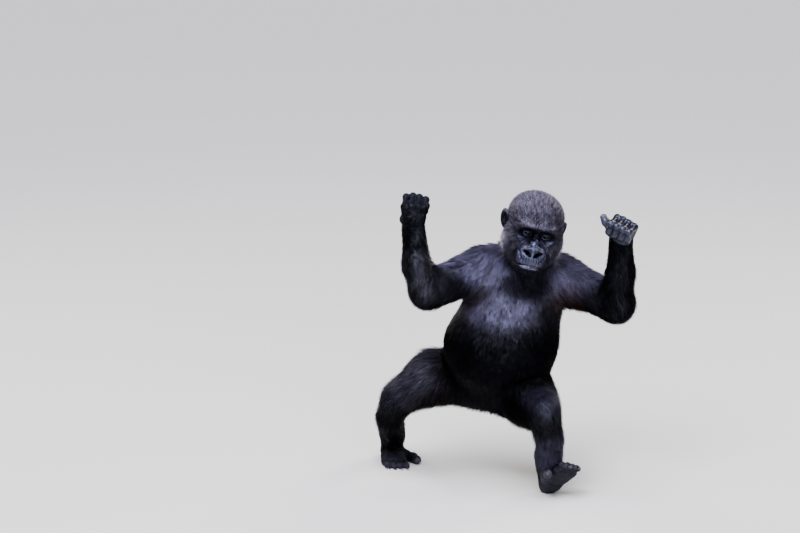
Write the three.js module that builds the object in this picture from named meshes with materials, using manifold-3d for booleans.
// A young western lowland gorilla, three to four years old, as a still life-size model.
// It stands on its hind legs with bent knees, one leg out to the side and one forward on its heel,
// and holds both fists up beside its head.
//
// Millimetres. +X is the animal's left, +Y its back, +Z up. The pose is built on a floor at z = 0.
// Every surface lies where the tips of the coat end, so the solids give the outline of the fur.
import * as THREE from "three";
import { mergeVertices } from "three/addons/utils/BufferGeometryUtils.js";
import Module from "manifold-3d";

const at = (x, y, z) => new THREE.Vector3(x, y, z);

// ---------------------------------------------------------------------------------------------
// Driving dimensions

const GAP = 0.32; // clearance between two pieces that touch
const FLATNESS = 0.02; // how far a flat end may stray from its plane
const SLIVER = 0.1; // the narrowest triangle that a cut may leave
const SKIN_BLEND = 32; // how widely a limb flows into the trunk

const TRUNK = {
  chest: { centre: at(22, -2, 479), radii: at(120, 100, 114) },
  belly: { centre: at(-10, -8, 360), radii: at(145, 124, 125) },
  hips: { centre: at(-14, 48, 262), radii: at(107, 96, 88) },
  back: { centre: at(35, 26, 530), radii: at(104, 68, 76) },
  shoulders: { right: at(-48, -12, 557), left: at(138, -12, 536), radius: 54 },
  spine: [at(-8, 44, 252), at(-4, 10, 358), at(26, 0, 463), at(46, -8, 546)],
  blend: 50,
  chestFloor: 415, // height of the cut between chest and belly
  bellyFloor: 288, // height of the cut between belly and hips
};

const NECK = { base: at(46, -4, 572), skull: at(66, -46, 656), baseRadius: 72, skullRadius: 62 };

// The head is drawn upright about the point between its eyes, then turned: crown to its left.
const HEAD = {
  eyeLine: at(74, -137, 671),
  roll: 14,
  pitch: 5,
  yaw: 5,
  eyeSpacing: 47,
  eyeRadius: 11,
  eyeDepth: 9,
  glance: 0.12, // how far the face leans to the right, for each millimetre ahead of the eyes
  ears: {
    right: { out: 76, radii: at(9, 17, 26) },
    left: { out: 70, radii: at(8, 16, 23) },
  },
};

// The thick of the forearm lies a third of the way from the elbow to the wrist.
const ARM = {
  right: {
    shoulder: at(-64, -16, 556),
    elbow: at(-193, -124, 529),
    thick: at(-221, -103, 584),
    wrist: at(-229, -74, 668),
  },
  left: {
    shoulder: at(150, -20, 530),
    elbow: at(271, -120, 494),
    thick: at(281, -135, 572),
    wrist: at(279, -148, 658),
  },
  shoulderRadius: 58,
  upperRadius: 48,
  elbowRadius: 41,
  thickRadius: 36,
  wristRadius: 29,
};

const HAND = {
  palm: 62, // wrist to knuckles
  thickness: 13,
  pitch: 16.4, // from one finger to the next
  fingerRadius: 7.9,
  phalanges: [34, 25, 17],
  thumbRadii: [10.5, 9.8, 8.6],
  // The right thumb lies across the palm, the left one stands up beside the fist. Its joints are
  // measured from the wrist: towards the thumb, towards the back of the hand and along the hand.
  right: {
    along: at(0.02, -0.08, 1),
    back: at(-0.15, -0.98, 0),
    bends: [60, 88, 50],
    thumb: [[26, -11, 24], [16, -34, 22], [4, -46, 24]],
  },
  left: {
    along: at(0.2, -0.38, 0.9),
    back: at(0.5, 0.85, 0.2),
    bends: [92, 92, 38],
    thumb: [[32, -7, 24], [48, -8, 37], [58, -8, 46]],
  },
};

const LEG = {
  right: {
    hip: at(-75, 48, 268),
    thigh: at(-184, 56, 261),
    knee: at(-268, 68, 200),
    calf: at(-290, 138, 132),
    ankle: at(-282, 214, 62),
  },
  left: {
    hip: at(42, 36, 236),
    thigh: at(59, -72, 238),
    knee: at(90, -150, 235),
    calf: at(110, -128, 150),
    ankle: at(111, -95, 63),
  },
  hipRadius: 76,
  thighRadius: 67,
  kneeRadius: 40,
  calfRadius: 33,
  ankleRadius: 34,
};

const FOOT = {
  heelRadius: 25,
  heelHeight: 21, // of the heel's centre: the sole is cut flat below it
  heelSetback: 24, // from the back of the foot to the heel's centre
  ballForward: 104, // where the toes begin
  toePitch: 15.2,
  toeRadius: 7.2,
  toeLengths: [48, 49, 44, 37], // beyond the ball, from beside the great toe outward
  greatToeRadii: [14, 12.4, 11],
  // The joints of the great toe are measured inward, up and forward of the heel.
  right: {
    heel: at(-286, 228, 0),
    along: at(0.27, -1, 0),
    top: at(0, 0, 1),
    greatToe: [[28, 14, 68], [42, 13, 87], [48, 11.5, 107]],
  },
  left: {
    heel: at(111, -92, 0),
    along: at(0.34, -0.58, 0.74),
    top: at(-0.2, 0.72, 0.66),
    greatToe: [[27, 12, 70], [39, 4, 90], [43, -5, 108]],
  },
};

const COAT_BLACK = { color: 0x16151b, roughness: 0.72, metalness: 0 };
const COAT_GREY = { color: 0x3a363b, roughness: 0.85, metalness: 0 };
const BARE_SKIN = { color: 0x26252f, roughness: 0.42, metalness: 0 };
const EYE_BROWN = { color: 0x1c0f0a, roughness: 0.08, metalness: 0 };

// ---------------------------------------------------------------------------------------------
// Shapes: each is a function that gives a point's distance to a surface, negative inside it

// A straight run of flesh, round in section, whose radius changes from one end to the other.
function bone(start, end, startRadius, endRadius = startRadius) {
  const run = end.clone().sub(start);
  const offset = at(0, 0, 0);
  return (point) => {
    offset.copy(point).sub(start);
    const along = THREE.MathUtils.clamp(offset.dot(run) / run.lengthSq(), 0, 1);
    const radius = THREE.MathUtils.lerp(startRadius, endRadius, along);
    return offset.addScaledVector(run, -along).length() - radius;
  };
}

// A mass of flesh: an ellipsoid, turned by a quaternion.
function egg(centre, radii, turn = new THREE.Quaternion()) {
  const unturn = turn.clone().invert();
  const scaled = at(0, 0, 0);
  return (point) => {
    const reach = scaled.copy(point).sub(centre).applyQuaternion(unturn).divide(radii).length();
    return (reach * (reach - 1)) / Math.max(scaled.divide(radii).length(), 1e-6);
  };
}

// Shapes that flow into each other where they come within the given reach.
function blend(reach, ...shapes) {
  return (point) =>
    shapes.map((shape) => shape(point)).reduce((one, other) => {
      const overlap = Math.max(reach - Math.abs(one - other), 0) / reach;
      return Math.min(one, other) - (overlap * overlap * reach) / 4;
    });
}

// A shape with others pressed out of it, leaving rounded edges.
function dent(reach, shape, ...hollows) {
  const hollow = blend(1, ...hollows);
  return (point) => {
    const [one, other] = [shape(point), -hollow(point)];
    const overlap = Math.max(reach - Math.abs(one - other), 0) / reach;
    return Math.max(one, other) + (overlap * overlap * reach) / 4;
  };
}

const grown = (shape, by) => (point) => shape(point) - by;

// ---------------------------------------------------------------------------------------------
// Skins: a closed mesh over a shape, made of rings of rays pushed out from a path inside it

// How far a ray from inside a shape runs before it leaves it.
function exitDistance(shape, origin, direction) {
  const probe = at(0, 0, 0);
  const value = (distance) => shape(probe.copy(origin).addScaledVector(direction, distance));
  let inside = 0;
  let outside = 0;
  for (let step = value(0); step < 0; step = value(outside)) {
    inside = outside;
    outside += Math.max(-0.7 * step, 0.5);
  }
  for (let halving = 0; halving < 14; halving += 1) {
    const middle = (inside + outside) / 2;
    if (value(middle) < 0) inside = middle;
    else outside = middle;
  }
  return inside;
}

// The normals of the planes that cut a path at its points: across each end, halfway at a bend.
function cutNormals(path, first, last) {
  const runs = path.slice(1).map((point, index) => point.clone().sub(path[index]).normalize());
  const inner = runs.slice(1).map((run, index) => run.clone().add(runs[index]).normalize());
  return [first ?? runs[0], ...inner, last ?? runs.at(-1)];
}

// path: points inside the shape. rings: how many rings each stretch of the path has.
// first and last: the normal of a flat end's plane. An end without one is closed by a dome.
// front: where each ring starts. crowd: how far the rays gather towards the front, 0 to 1.
function skin(shape, path, { sides, rings, first, last, front = at(1, 0, 0), crowd = 0, domes = 3 }) {
  const normals = cutNormals(path, first, last);
  const bounded = (point) =>
    Math.max(
      shape(point),
      first ? normals[0].dot(path[0]) - normals[0].dot(point) - FLATNESS : -Infinity,
      last ? normals.at(-1).dot(point) - normals.at(-1).dot(path.at(-1)) - FLATNESS : -Infinity,
    );
  const stations = [];
  for (let stretch = 0; stretch < path.length - 1; stretch += 1) {
    const [start, end] = [path[stretch], path[stretch + 1]];
    const run = end.clone().sub(start).normalize();
    const [from, to] = [normals[stretch].clone(), normals[stretch + 1].clone()];
    from.divideScalar(from.dot(run));
    to.divideScalar(to.dot(run));
    for (let ring = stretch === 0 ? 0 : 1; ring <= rings; ring += 1) {
      const share = ring / rings;
      const centre = start.clone().lerp(end, share);
      stations.push({ centre, normal: from.clone().lerp(to, share).normalize(), rise: 0 });
    }
  }
  const domed = (station, sign) =>
    Array.from({ length: domes }, (_, index) => {
      const rise = ((sign * (index + 1)) / (domes + 1)) * (Math.PI / 2);
      return { ...station, rise };
    });
  if (!first) stations.unshift(...domed(stations[0], -1).reverse());
  if (!last) stations.push(...domed(stations.at(-1), 1));

  const vertices = [];
  const indices = [];
  for (const { centre, normal, rise } of stations) {
    const side = front.clone().addScaledVector(normal, -front.dot(normal)).normalize();
    const other = normal.clone().cross(side);
    for (let ray = 0; ray < sides; ray += 1) {
      const even = (2 * Math.PI * ray) / sides;
      const angle = even - crowd * Math.sin(even);
      const direction = side.clone().multiplyScalar(Math.cos(angle) * Math.cos(rise));
      direction.addScaledVector(other, Math.sin(angle) * Math.cos(rise));
      direction.addScaledVector(normal, Math.sin(rise));
      vertices.push(centre.clone().addScaledVector(direction, exitDistance(bounded, centre, direction)));
    }
  }
  for (let ring = 0; ring < stations.length - 1; ring += 1) {
    for (let ray = 0; ray < sides; ray += 1) {
      const [near, next] = [ring * sides + ray, ring * sides + ((ray + 1) % sides)];
      indices.push(near, next, next + sides, near, next + sides, near + sides);
    }
  }
  const close = (station, flat, sign, base) => {
    const tip = station.centre.clone();
    const outward = station.normal.clone().multiplyScalar(sign);
    if (!flat) tip.addScaledVector(outward, exitDistance(bounded, tip, outward));
    vertices.push(tip);
    for (let ray = 0; ray < sides; ray += 1) {
      const [near, next] = [base + ray, base + ((ray + 1) % sides)];
      indices.push(vertices.length - 1, ...(sign > 0 ? [near, next] : [next, near]));
    }
  };
  close(stations[0], first, -1, 0);
  close(stations.at(-1), last, 1, (stations.length - 1) * sides);
  return toSolid(vertices.flatMap((vertex) => vertex.toArray()), indices);
}

// ---------------------------------------------------------------------------------------------
// Solids: manifold-3d cuts the skins where pieces meet

const wasm = await Module();
wasm.setup();

function toSolid(positions, indices) {
  const vertProperties = Float32Array.from(positions);
  const triVerts = Uint32Array.from(indices);
  return new wasm.Manifold(new wasm.Mesh({ numProp: 3, vertProperties, triVerts }));
}

// The largest body left after a cut, so that no crumb of a piece stays behind.
function largest(solid) {
  return solid.decompose().reduce((one, other) => (other.volume() > one.volume() ? other : one));
}

// What of a solid lies beyond a plane, on the side that its normal points to.
function beyond(solid, point, normal, clearance = GAP / 2) {
  const unit = normal.clone().normalize();
  return solid.trimByPlane(unit.toArray(), unit.dot(point) + clearance);
}

const below = (solid, point, normal) => beyond(solid, point, normal.clone().negate());

const without = (solid, ...others) => largest(others.reduce((left, other) => left.subtract(other), solid));

// A cut leaves slivers along its edge, which are merged into their neighbours.
function toMesh(name, solid, finish) {
  const { vertProperties, triVerts } = largest(solid.simplify(SLIVER)).getMesh();
  const geometry = new THREE.BufferGeometry();
  geometry.setAttribute("position", new THREE.BufferAttribute(vertProperties, 3));
  geometry.setIndex(new THREE.BufferAttribute(triVerts, 1));
  const mesh = new THREE.Mesh(geometry, new THREE.MeshStandardMaterial(finish));
  mesh.name = name;
  return mesh;
}

// ---------------------------------------------------------------------------------------------
// Frames: places measured from a joint, along its own directions

// x points to the thumb or great toe, y to the back of the hand or foot, z to the fingertips.
function digitFrame(origin, along, back, side) {
  const z = along.clone().normalize();
  const y = back.clone().addScaledVector(z, -back.dot(z)).normalize();
  const x = y.clone().cross(z);
  const turn = new THREE.Quaternion().setFromRotationMatrix(new THREE.Matrix4().makeBasis(x, y, z));
  const inner = side === "right" ? 1 : -1;
  const place = (toThumb, toBack, forward) =>
    at(inner * toThumb, toBack, forward).applyQuaternion(turn).add(origin);
  return { place, turn, across: x };
}

const headTurn = new THREE.Quaternion().setFromEuler(
  new THREE.Euler(
    THREE.MathUtils.degToRad(HEAD.pitch),
    THREE.MathUtils.degToRad(HEAD.roll),
    THREE.MathUtils.degToRad(HEAD.yaw),
    "ZXY",
  ),
);
const inHead = (x, y, z) => at(x, y, z).applyQuaternion(headTurn).add(HEAD.eyeLine);

// ---------------------------------------------------------------------------------------------
// Trunk and limbs as shapes

const massOf = ({ centre, radii }) => egg(centre, radii);
const { right: rightShoulder, left: leftShoulder, radius: shoulderRadius } = TRUNK.shoulders;
const trunkShape = blend(
  TRUNK.blend,
  massOf(TRUNK.chest),
  massOf(TRUNK.belly),
  massOf(TRUNK.hips),
  massOf(TRUNK.back),
  bone(rightShoulder, leftShoulder, shoulderRadius),
);

function armShape({ shoulder, elbow, thick, wrist }) {
  return blend(
    14,
    bone(shoulder, elbow, ARM.shoulderRadius, ARM.upperRadius),
    bone(elbow, thick, ARM.elbowRadius, ARM.thickRadius),
    bone(thick, wrist, ARM.thickRadius, ARM.wristRadius),
  );
}

function legShape({ hip, thigh, knee, calf, ankle }) {
  return blend(
    16,
    bone(hip, thigh, LEG.hipRadius, LEG.thighRadius),
    bone(thigh, knee, LEG.thighRadius, LEG.kneeRadius),
    bone(knee, calf, LEG.kneeRadius, LEG.calfRadius),
    bone(calf, ankle, LEG.calfRadius, LEG.ankleRadius),
  );
}

// The plane that parts a limb from the trunk touches the mass beside it where that faces the limb.
function rootCut({ centre, radii }, limb) {
  const normal = limb.clone().sub(centre).normalize();
  const reach = normal.clone().multiply(radii).length();
  return { normal, offset: normal.dot(centre) + reach };
}

// Where a line from one joint to the next crosses a cut.
function crossing({ normal, offset }, start, end) {
  const run = end.clone().sub(start);
  return start.clone().addScaledVector(run, (offset - normal.dot(start)) / normal.dot(run));
}

const SIDES = ["right", "left"];
const arms = {};
const legs = {};
for (const side of SIDES) {
  const arm = ARM[side];
  const leg = LEG[side];
  arms[side] = {
    shape: blend(SKIN_BLEND, trunkShape, armShape(arm)),
    cut: rootCut(TRUNK.chest, arm.shoulder.clone().lerp(arm.elbow, 0.5)),
  };
  legs[side] = {
    shape: blend(SKIN_BLEND, trunkShape, legShape(leg)),
    cut: rootCut(TRUNK.belly, leg.thigh),
  };
}

// The trunk with the roots of its limbs, which end a little beyond their cuts.
function rootedTrunk() {
  const stubs = SIDES.flatMap((side) => {
    const { shoulder, elbow } = ARM[side];
    const { hip, thigh } = LEG[side];
    const armEnd = shoulder.clone().lerp(elbow, 0.45);
    return [
      bone(shoulder, armEnd, ARM.shoulderRadius, (ARM.shoulderRadius + ARM.upperRadius) / 2),
      bone(hip, hip.clone().lerp(thigh, 0.7), LEG.hipRadius, LEG.thighRadius),
    ];
  });
  return blend(SKIN_BLEND, trunkShape, ...stubs);
}

// ---------------------------------------------------------------------------------------------
// Trunk: one skin, trimmed at the limbs and parted into chest, belly and hips

// The trunk's skin, swollen by a clearance where it serves to cut its neighbours.
function trunkSkin(clearance) {
  const options = { sides: 24, rings: 4, front: at(0, -1, 0), domes: 4 };
  return skin(grown(rootedTrunk(), clearance), TRUNK.spine, options);
}

// What of a solid lies on the trunk's side of the cuts of some limbs.
function inboard(solid, ...limbs) {
  const cuts = limbs.flatMap((limb) => Object.values(limb)).map(({ cut }) => cut);
  const trim = (left, { normal, offset }) => below(left, normal.clone().multiplyScalar(offset), normal);
  return cuts.reduce(trim, solid);
}

function makeTrunk() {
  const solid = inboard(trunkSkin(0), arms, legs);
  const up = at(0, -0.12, 1);
  const chestFloor = at(0, 0, TRUNK.chestFloor);
  const bellyFloor = at(0, 0, TRUNK.bellyFloor);
  return {
    chest: largest(beyond(solid, chestFloor, up)),
    belly: largest(beyond(below(solid, chestFloor, up), bellyFloor, up)),
    hips: largest(below(solid, bellyFloor, up)),
  };
}

// ---------------------------------------------------------------------------------------------
// Head: cranium, brow, cheeks, muzzle, nose and chin, with the sockets pressed in

// The face leans a little to the right of where the skull points.
function glancing(shape) {
  const across = at(1, 0, 0).applyQuaternion(headTurn);
  const back = at(0, 1, 0).applyQuaternion(headTurn);
  const leant = at(0, 0, 0);
  return (point) => {
    const behind = leant.copy(point).sub(HEAD.eyeLine).dot(back);
    const ahead = Math.max(HEAD.eyeDepth - behind, 0);
    return shape(leant.copy(point).addScaledVector(across, HEAD.glance * ahead));
  };
}

function headShape() {
  const spacing = HEAD.eyeSpacing / 2;
  const pair = (make) => [make(1), make(-1)];
  const solidHead = blend(
    16,
    egg(inHead(0, 74, 28), at(73, 84, 63), headTurn),
    egg(inHead(0, 34, 24), at(60, 44, 42), headTurn),
    ...pair((side) => egg(inHead(side * 42, 44, -26), at(38, 46, 52), headTurn)),
    egg(inHead(0, 40, -66), at(58, 50, 40), headTurn),
    egg(inHead(0, -4, -54), at(39, 42, 33), headTurn),
    egg(inHead(0, 4, -88), at(36, 36, 25), headTurn),
    bone(inHead(-30, 3, 15), inHead(30, 3, 15), 15),
    bone(inHead(0, 2, 10), inHead(0, -22, -24), 9, 13),
  );
  const sockets = pair((side) => egg(inHead(side * spacing, -11, -1), at(20, 18, 12), headTurn));
  const nose = blend(
    5,
    egg(inHead(0, -30, -31), at(15, 11, 12), headTurn),
    ...pair((side) => egg(inHead(side * 15, -27, -36), at(12, 11, 9), headTurn)),
  );
  return glancing(blend(4, dent(8, solidHead, ...sockets), nose));
}

const neckBone = bone(NECK.base, NECK.skull, NECK.baseRadius, NECK.skullRadius);
const headAndNeck = blend(26, headShape(), neckBone);
const throatCut = { point: inHead(-6, 84, -64), normal: at(0.1, -0.6, 0.79) };

function makeHead(trunk) {
  const path = [inHead(0, 36, -62), inHead(0, 44, -20), inHead(0, 62, 32)];
  const front = at(0, -1, 0).applyQuaternion(headTurn);
  const whole = skin(headAndNeck, path, { sides: 28, rings: 6, front, crowd: 0.42, domes: 5 });
  const eyes = SIDES.map((side) => eyeSolid(side, HEAD.eyeRadius + GAP));
  return without(beyond(whole, throatCut.point, throatCut.normal), trunk, ...eyes);
}

function makeNeck(trunk) {
  const ends = { first: at(0.1, -0.3, 0.95), last: throatCut.normal };
  const whole = skin(headAndNeck, [NECK.base, NECK.skull], { sides: 14, rings: 3, ...ends });
  return without(inboard(below(whole, throatCut.point, throatCut.normal), arms), trunk);
}

const leftward = (side) => (side === "left" ? 1 : -1);

function eyeSolid(side, radius) {
  const ball = new THREE.SphereGeometry(radius, 12, 7);
  const centre = inHead((leftward(side) * HEAD.eyeSpacing) / 2, HEAD.eyeDepth, 0);
  return fromGeometry(ball.translate(...centre.toArray()));
}

function fromGeometry(geometry) {
  const bare = geometry.clone();
  bare.deleteAttribute("normal");
  bare.deleteAttribute("uv");
  const merged = mergeVertices(bare);
  return toSolid(merged.attributes.position.array, merged.index.array);
}

// The ear stands off the side of the head, with its bowl facing out and forward.
function makeEar(side, head) {
  const out = leftward(side);
  const lean = new THREE.Quaternion().setFromEuler(new THREE.Euler(-0.12, out * 0.16, out * -0.42));
  const turn = headTurn.clone().multiply(lean);
  const { out: reach, radii } = HEAD.ears[side];
  const centre = inHead(out * reach, 62, 8);
  const shape = dent(
    3,
    egg(centre, radii, turn),
    egg(inHead(out * (reach + 10), 56, 10), at(9, 9, 15), turn),
  );
  const inner = centre.clone().lerp(inHead(0, 62, 8), 0.06);
  const run = at(0, 0, 9).applyQuaternion(turn);
  const path = [inner.clone().sub(run), inner.clone().add(run)];
  return without(skin(shape, path, { sides: 10, rings: 2, front: at(0, 1, 0), domes: 2 }), head);
}

// ---------------------------------------------------------------------------------------------
// Digits: a finger or toe is a bent chain of bones that ends in a round tip

function digit(frame, places, radii) {
  const path = places.map(([x, y, z]) => frame.place(x, y, z));
  const bones = path.slice(1).map((end, index) => bone(path[index], end, radii[index], radii[index + 1]));
  return { path, shape: blend(2, ...bones), front: frame.across };
}

// The places of a curled digit's joints, each bend turning it further towards the palm or sole.
function curl(root, lengths, bends) {
  const places = [root];
  let angle = 0;
  lengths.forEach((length, index) => {
    angle += THREE.MathUtils.degToRad(bends[index]);
    const [x, y, z] = places.at(-1);
    places.push([x, y - length * Math.sin(angle), z + length * Math.cos(angle)]);
  });
  return places;
}

function digitSolid({ path, shape, front }, sides, rings) {
  const first = path[1].clone().sub(path[0]).normalize();
  return skin(shape, path, { sides, rings, first, front, domes: 2 });
}

// ---------------------------------------------------------------------------------------------
// Arms: upper arm and forearm part at the elbow, and the hand at the wrist

const FINGERS = ["index", "middle", "ring", "little"];

function makeArm(side) {
  const { shoulder, elbow, thick, wrist } = ARM[side];
  const { shape, cut } = arms[side];
  const root = crossing(cut, shoulder, elbow);
  const bend = cutNormals([root, elbow, thick, wrist]);
  const wristCut = bend[3];
  const step = (normal, sign) => normal.clone().multiplyScalar((sign * GAP) / 2);
  const upper = skin(
    shape,
    [root.clone().add(step(cut.normal, 1)), elbow.clone().add(step(bend[1], -1))],
    { sides: 14, rings: 7, first: cut.normal, last: bend[1], front: at(0, 0, 1) },
  );
  const forearm = skin(
    shape,
    [elbow.clone().add(step(bend[1], 1)), thick, wrist.clone().add(step(wristCut, -1))],
    { sides: 14, rings: 4, first: bend[1], last: wristCut, front: at(0, -1, 0) },
  );
  return { upper, forearm, wristCut };
}

function makeHand(side, wristCut) {
  const { along, back, bends } = HAND[side];
  const frame = digitFrame(ARM[side].wrist, along, back, side);
  const { palm, pitch, thickness, fingerRadius } = HAND;
  const spread = FINGERS.map((_, index) => (1.5 - index) * pitch);
  const knuckles = spread.map((across) => [across, -2, palm - Math.abs(across - 4) * 0.12]);
  const ray = ([x, y, z]) => bone(frame.place(x * 0.55, 0, 14), frame.place(x, y, z), thickness + 2, 10);
  const palmShape = blend(
    9,
    bone(ARM[side].wrist, frame.place(0, 0, 26), ARM.wristRadius - 3, 20),
    ...knuckles.map(ray),
    bone(frame.place(14, -4, 12), frame.place(26, -10, 30), 14, 10),
  );
  const start = ARM[side].wrist.clone().addScaledVector(wristCut, GAP / 2);
  const palmSkin = (by) =>
    skin(grown(palmShape, by), [start, frame.place(0, -1, palm - 12)], {
      sides: 14, rings: 5, first: wristCut, front: frame.across, domes: 2,
    });
  const hand = palmSkin(0);
  const taper = [1, 1, 0.96, 0.86].map((share) => share * fingerRadius);
  const pieces = { [`hand_${side}`]: hand };
  const blocker = palmSkin(GAP);
  FINGERS.forEach((finger, index) => {
    const reach = [1, 1.05, 1, 0.88][index];
    const lengths = HAND.phalanges.map((length) => length * reach);
    const chain = digit(frame, curl(knuckles[index], lengths, bends), taper);
    pieces[`finger_${finger}_${side}`] = without(digitSolid(chain, 7, 2), blocker);
  });
  const thumb = digit(frame, HAND[side].thumb, HAND.thumbRadii);
  pieces[`thumb_${side}`] = without(digitSolid(thumb, 7, 2), blocker);
  return pieces;
}

// ---------------------------------------------------------------------------------------------
// Legs: thigh and shin part at the knee, and the foot at the ankle

function makeLeg(side) {
  const { hip, thigh, knee, calf, ankle } = LEG[side];
  const { shape, cut } = legs[side];
  const root = crossing(cut, hip, thigh);
  const bend = cutNormals([thigh, knee, calf]);
  const ankleCut = ankle.clone().sub(calf).normalize().sub(FOOT[side].top).normalize();
  const step = (normal, sign) => normal.clone().multiplyScalar((sign * GAP) / 2);
  const upper = skin(
    shape,
    [root.clone().add(step(cut.normal, 1)), thigh, knee.clone().add(step(bend[1], -1))],
    { sides: 14, rings: 4, first: cut.normal, last: bend[1], front: at(0, 0.3, 1) },
  );
  const shin = skin(
    shape,
    [knee.clone().add(step(bend[1], 1)), calf, ankle.clone().add(step(ankleCut, -1))],
    { sides: 14, rings: 4, first: bend[1], last: ankleCut, front: at(1, 0, 0) },
  );
  return { upper, shin, ankleCut };
}

const TOES = ["second", "third", "fourth", "fifth"];

function makeFoot(side, ankleCut) {
  const { heel, along, top } = FOOT[side];
  const { heelRadius, heelHeight, heelSetback, ballForward, toePitch, toeRadius } = FOOT;
  const heelCentre = heel.clone().setZ(heelHeight);
  const frame = digitFrame(heelCentre, along, top, side);
  const fromHeel = (x, y, forward) => frame.place(x, y - heelHeight, forward - heelSetback);
  const roots = TOES.map((_, index) => [(0.75 - index) * toePitch, 11, ballForward - index * 3]);
  const ankle = LEG[side].ankle;
  const soleShape = blend(
    14,
    egg(heelCentre, at(heelRadius, heelRadius - 1, heelRadius + 3), frame.turn),
    bone(ankle.clone().addScaledVector(ankleCut, -LEG.ankleRadius), fromHeel(0, 34, 40), LEG.ankleRadius, 24),
    bone(fromHeel(0, 26, 34), fromHeel(-4, 15, 92), 24, 14),
    bone(fromHeel(-14, 14, 40), fromHeel(-24, 11, 92), 15, 11),
    ...roots.map(([x, y, z]) => bone(fromHeel(x * 0.7, 17, 70), fromHeel(x, y, z), 14, 10.5)),
    bone(fromHeel(12, 18, 44), fromHeel(27, 15, 66), 17, 14),
  );
  const soleSkin = (by) =>
    skin(grown(soleShape, by), [fromHeel(0, 24, 20), fromHeel(-2, 15, 88)], {
      sides: 14, rings: 6, front: frame.across, domes: 3,
    });
  const aboveFloor = (solid) => beyond(solid, at(0, 0, 0), at(0, 0, 1), 0);
  const blocker = beyond(soleSkin(GAP), ankle, ankleCut, 0);
  const pieces = { [`foot_${side}`]: aboveFloor(beyond(soleSkin(0), ankle, ankleCut)) };
  TOES.forEach((toe, index) => {
    const [x, y, z] = roots[index];
    const length = FOOT.toeLengths[index];
    const places = curl([x, y - heelHeight, z - heelSetback], [length * 0.6, length * 0.4], [8, 34]);
    const chain = digit(frame, places, [toeRadius, toeRadius, toeRadius - 1.4]);
    pieces[`toe_${toe}_${side}`] = without(aboveFloor(digitSolid(chain, 7, 1)), blocker);
  });
  const great = digit({ ...frame, place: fromHeel }, FOOT[side].greatToe, FOOT.greatToeRadii);
  pieces[`great_toe_${side}`] = without(aboveFloor(digitSolid(great, 8, 1)), blocker);
  return pieces;
}

// ---------------------------------------------------------------------------------------------
// The whole animal

const gorilla = new THREE.Group();
const add = (name, solid, finish) => gorilla.add(toMesh(name, solid, finish));

const trunkBlocker = trunkSkin(GAP);
for (const [name, solid] of Object.entries(makeTrunk())) add(name, solid, COAT_BLACK);

const neck = makeNeck(trunkBlocker);
const head = makeHead(trunkBlocker);
add("neck", neck, COAT_BLACK);
add("head", head, COAT_GREY);
for (const side of SIDES) {
  add(`eye_${side}`, eyeSolid(side, HEAD.eyeRadius), EYE_BROWN);
  add(`ear_${side}`, makeEar(side, head), BARE_SKIN);
}

for (const side of SIDES) {
  const { upper, forearm, wristCut } = makeArm(side);
  add(`upper_arm_${side}`, upper, COAT_BLACK);
  add(`forearm_${side}`, forearm, COAT_BLACK);
  for (const [name, solid] of Object.entries(makeHand(side, wristCut))) add(name, solid, BARE_SKIN);

  const { upper: thigh, shin, ankleCut } = makeLeg(side);
  add(`thigh_${side}`, thigh, COAT_BLACK);
  add(`shin_${side}`, shin, COAT_BLACK);
  for (const [name, solid] of Object.entries(makeFoot(side, ankleCut))) add(name, solid, BARE_SKIN);
}

// The origin is on the floor, under the middle of the animal's outline.
const bounds = new THREE.Box3().setFromObject(gorilla);
const middle = bounds.getCenter(at(0, 0, 0));
gorilla.position.set(-middle.x, -middle.y, -bounds.min.z);

export default gorilla;
